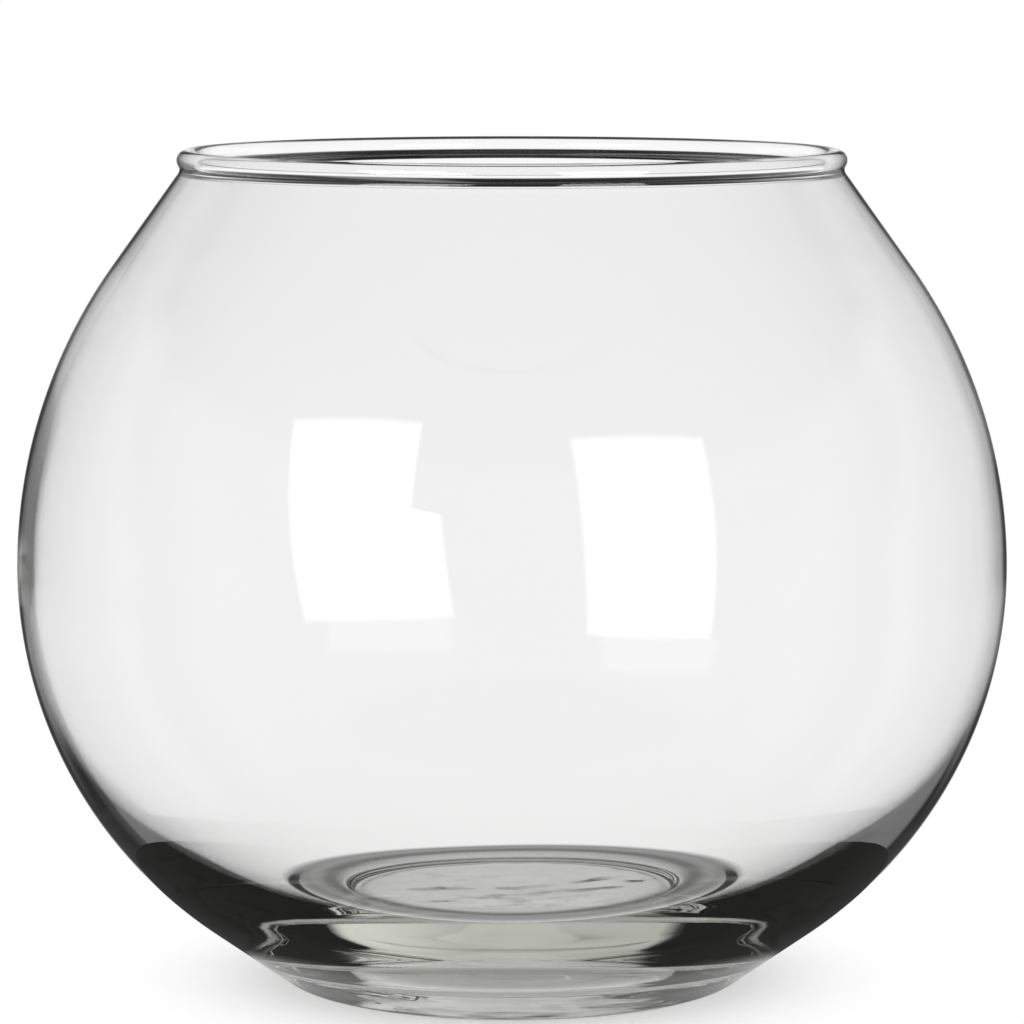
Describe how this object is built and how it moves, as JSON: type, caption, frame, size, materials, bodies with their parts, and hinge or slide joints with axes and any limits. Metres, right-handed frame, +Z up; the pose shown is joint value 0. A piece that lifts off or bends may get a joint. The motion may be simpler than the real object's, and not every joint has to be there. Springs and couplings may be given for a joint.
{
  "type": "globe vase",
  "caption": "Round clear-glass globe vase with a fire-polished rim bead, thin blown wall, heavy base and hollow-bottomed foot, to stand flowers or floating candles in.",
  "frame": {"origin": "middle of the foot's contact plane, at the bottom centre of the bounding box", "axes": "+Z up along the vase's axis of revolution, +Y away from the picture's camera, +X to the picture's right"},
  "size_m": [0.19, 0.19, 0.16],
  "materials": {
    "clear_glass": "fire-polished"
  },
  "bodies": {
    "root": {"rim_bead": "clear_glass", "globe_wall": "clear_glass", "heavy_base": "clear_glass", "foot_ring": "clear_glass"}
  },
  "joints": []
}
